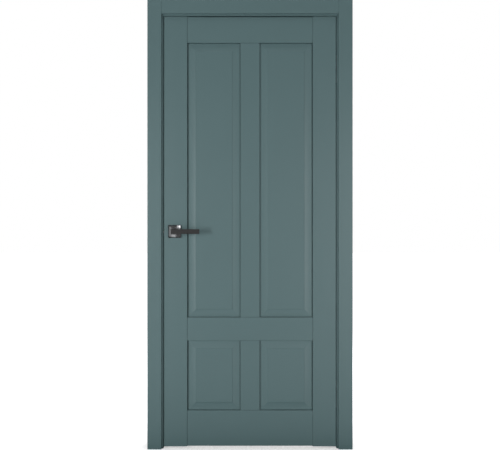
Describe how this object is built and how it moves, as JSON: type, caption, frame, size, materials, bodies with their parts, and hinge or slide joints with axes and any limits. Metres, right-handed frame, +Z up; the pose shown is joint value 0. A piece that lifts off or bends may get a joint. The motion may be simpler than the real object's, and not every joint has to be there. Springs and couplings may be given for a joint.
{
  "type": "interior door",
  "caption": "Panelled painted interior door in its frame with casings, concealed folding hinges, a spring latch and flat lever handles on square rosettes.",
  "frame": {"origin": "on the floor, midway between the jambs and midway through the leaf's thickness", "axes": "+X along the wall towards the hinges, +Y into the doorway from the side the door opens to, +Z up"},
  "size_m": [0.952, 0.146, 2.086],
  "materials": {
    "leaf_paint": "grey-green satin enamel",
    "panel_paint": "grey-green satin enamel",
    "frame_paint": "grey-green satin enamel",
    "casing_paint": "grey-green satin enamel",
    "seal_rubber": "matt",
    "hinge_zinc": "satin",
    "hinge_steel": "satin",
    "latch_steel": "satin",
    "strike_plastic": "matt",
    "base_plastic": "matt",
    "lever_metal": "matt anthracite",
    "rosette_metal": "polished black nickel"
  },
  "bodies": {
    "frame": {"strike_jamb": "frame_paint", "hinge_jamb": "frame_paint", "head_jamb": "frame_paint", "front_casing_left": "casing_paint", "front_casing_right": "casing_paint", "front_casing_head": "casing_paint", "rear_casing_left": "casing_paint", "rear_casing_right": "casing_paint", "rear_casing_head": "casing_paint", "hinge_side_seal": "seal_rubber", "lock_side_seal": "seal_rubber", "head_seal": "seal_rubber", "hinge_jamb_halves": "hinge_zinc", "strike_plate": "latch_steel", "strike_box": "strike_plastic"},
    "jamb_arms": {"hinge_jamb_arms": "hinge_steel"},
    "leaf_arms": {"hinge_leaf_arms": "hinge_steel"},
    "leaf": {"lock_stile": "leaf_paint", "hinge_stile": "leaf_paint", "top_rail": "leaf_paint", "lock_rail": "leaf_paint", "bottom_rail": "leaf_paint", "upper_mullion": "leaf_paint", "lower_mullion": "leaf_paint", "upper_left_panel": "panel_paint", "upper_right_panel": "panel_paint", "lower_left_panel": "panel_paint", "lower_right_panel": "panel_paint", "hinge_leaf_halves": "hinge_zinc", "latch_case": "latch_steel", "latch_faceplate": "latch_steel", "front_rosette_base": "base_plastic", "rear_rosette_base": "base_plastic", "front_rosette": "rosette_metal", "rear_rosette": "rosette_metal"},
    "handle": {"front_lever": "lever_metal", "rear_lever": "lever_metal", "spindle": "latch_steel", "latch_follower": "latch_steel"},
    "latch": {"latch_bolt": "latch_steel"}
  },
  "joints": [
    {"name": "door_swing", "type": "hinge", "parent": "frame", "child": "leaf", "pos_m": [0.4015, -0.02, 1.01], "axis": [0, 0, 1], "range_deg": [0, 105]},
    {"name": "jamb_arm_turn", "type": "hinge", "parent": "frame", "child": "jamb_arms", "pos_m": [0.407, -0.008, 1.01], "axis": [0, 0, 1], "range_deg": [0, 105]},
    {"name": "leaf_arm_turn", "type": "hinge", "parent": "leaf", "child": "leaf_arms", "pos_m": [0.396, -0.008, 1.01], "axis": [0, 0, 1], "range_deg": [-105, 0]},
    {"name": "lever_turn", "type": "hinge", "parent": "leaf", "child": "handle", "pos_m": [-0.35, 0, 1.01], "axis": [0, 1, 0], "range_deg": [0, 45], "stiffness_Nm_per_rad": 1.2, "springref_deg": -34.38},
    {"name": "latch_draw", "type": "slide", "parent": "leaf", "child": "latch", "axis": [1, 0, 0], "range_m": [0, 0.0105]}
  ],
  "couplings": [
    {"joint": "jamb_arm_turn", "follows": "door_swing", "ratio": 1},
    {"joint": "leaf_arm_turn", "follows": "door_swing", "ratio": -1},
    {"joint": "latch_draw", "follows": "lever_turn", "m_per_rad": 0.012732}
  ]
}
